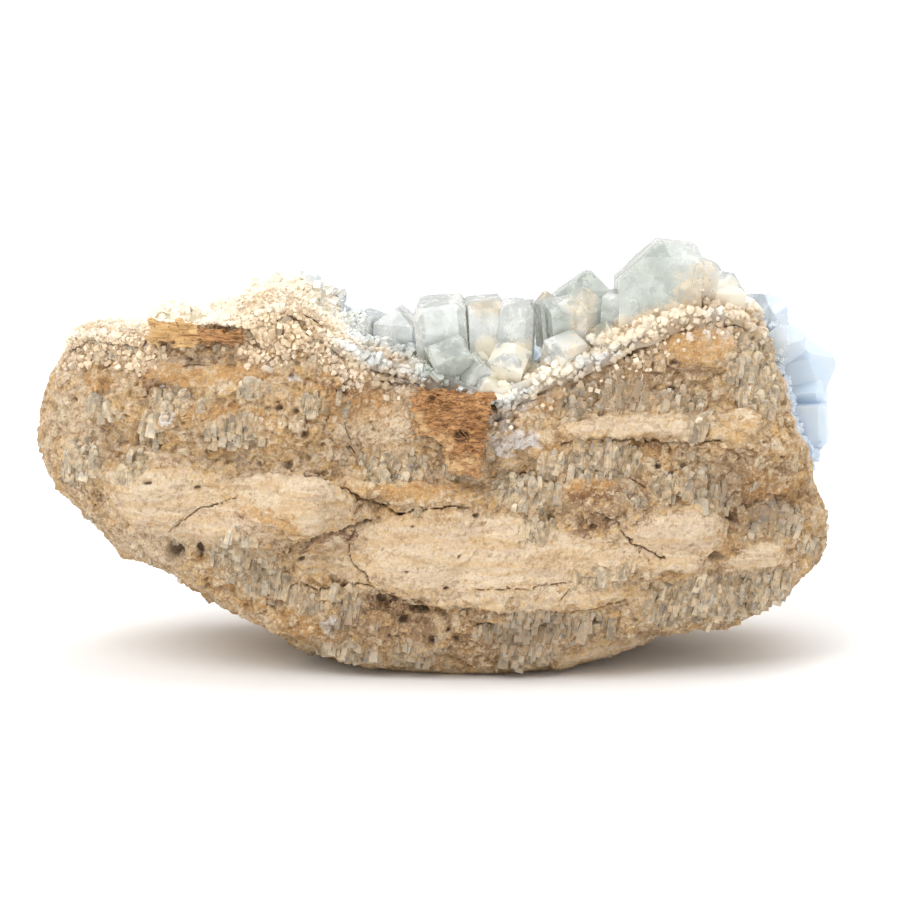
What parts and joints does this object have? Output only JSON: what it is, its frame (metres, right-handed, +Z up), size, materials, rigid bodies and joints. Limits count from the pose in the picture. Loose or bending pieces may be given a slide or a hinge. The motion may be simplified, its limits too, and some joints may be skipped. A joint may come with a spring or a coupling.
{
  "type": "celestite cluster",
  "caption": "Broken piece of geode wall: a layered tan matrix, boat-shaped from the front, with pale blue blocky celestite crystals along its top and right side.",
  "frame": {"origin": "on the table under the middle of the whole piece, in the plane of the flat spot it rests on", "axes": "+X along the piece to the end with the blue crystals, -Y out of the broken front face, +Z up towards the crystals"},
  "size_m": [0.1336, 0.0742, 0.0716],
  "materials": {
    "tan_rock": "rough, broken and porous",
    "pale_blue": "translucent, flat shiny crystal faces",
    "brown_bark": "dry and fibrous"
  },
  "bodies": {
    "root": {"matrix_rock": "tan_rock", "celestite_crust": "pale_blue", "wood_splinter": "brown_bark", "bark_fragment": "brown_bark"}
  },
  "joints": []
}
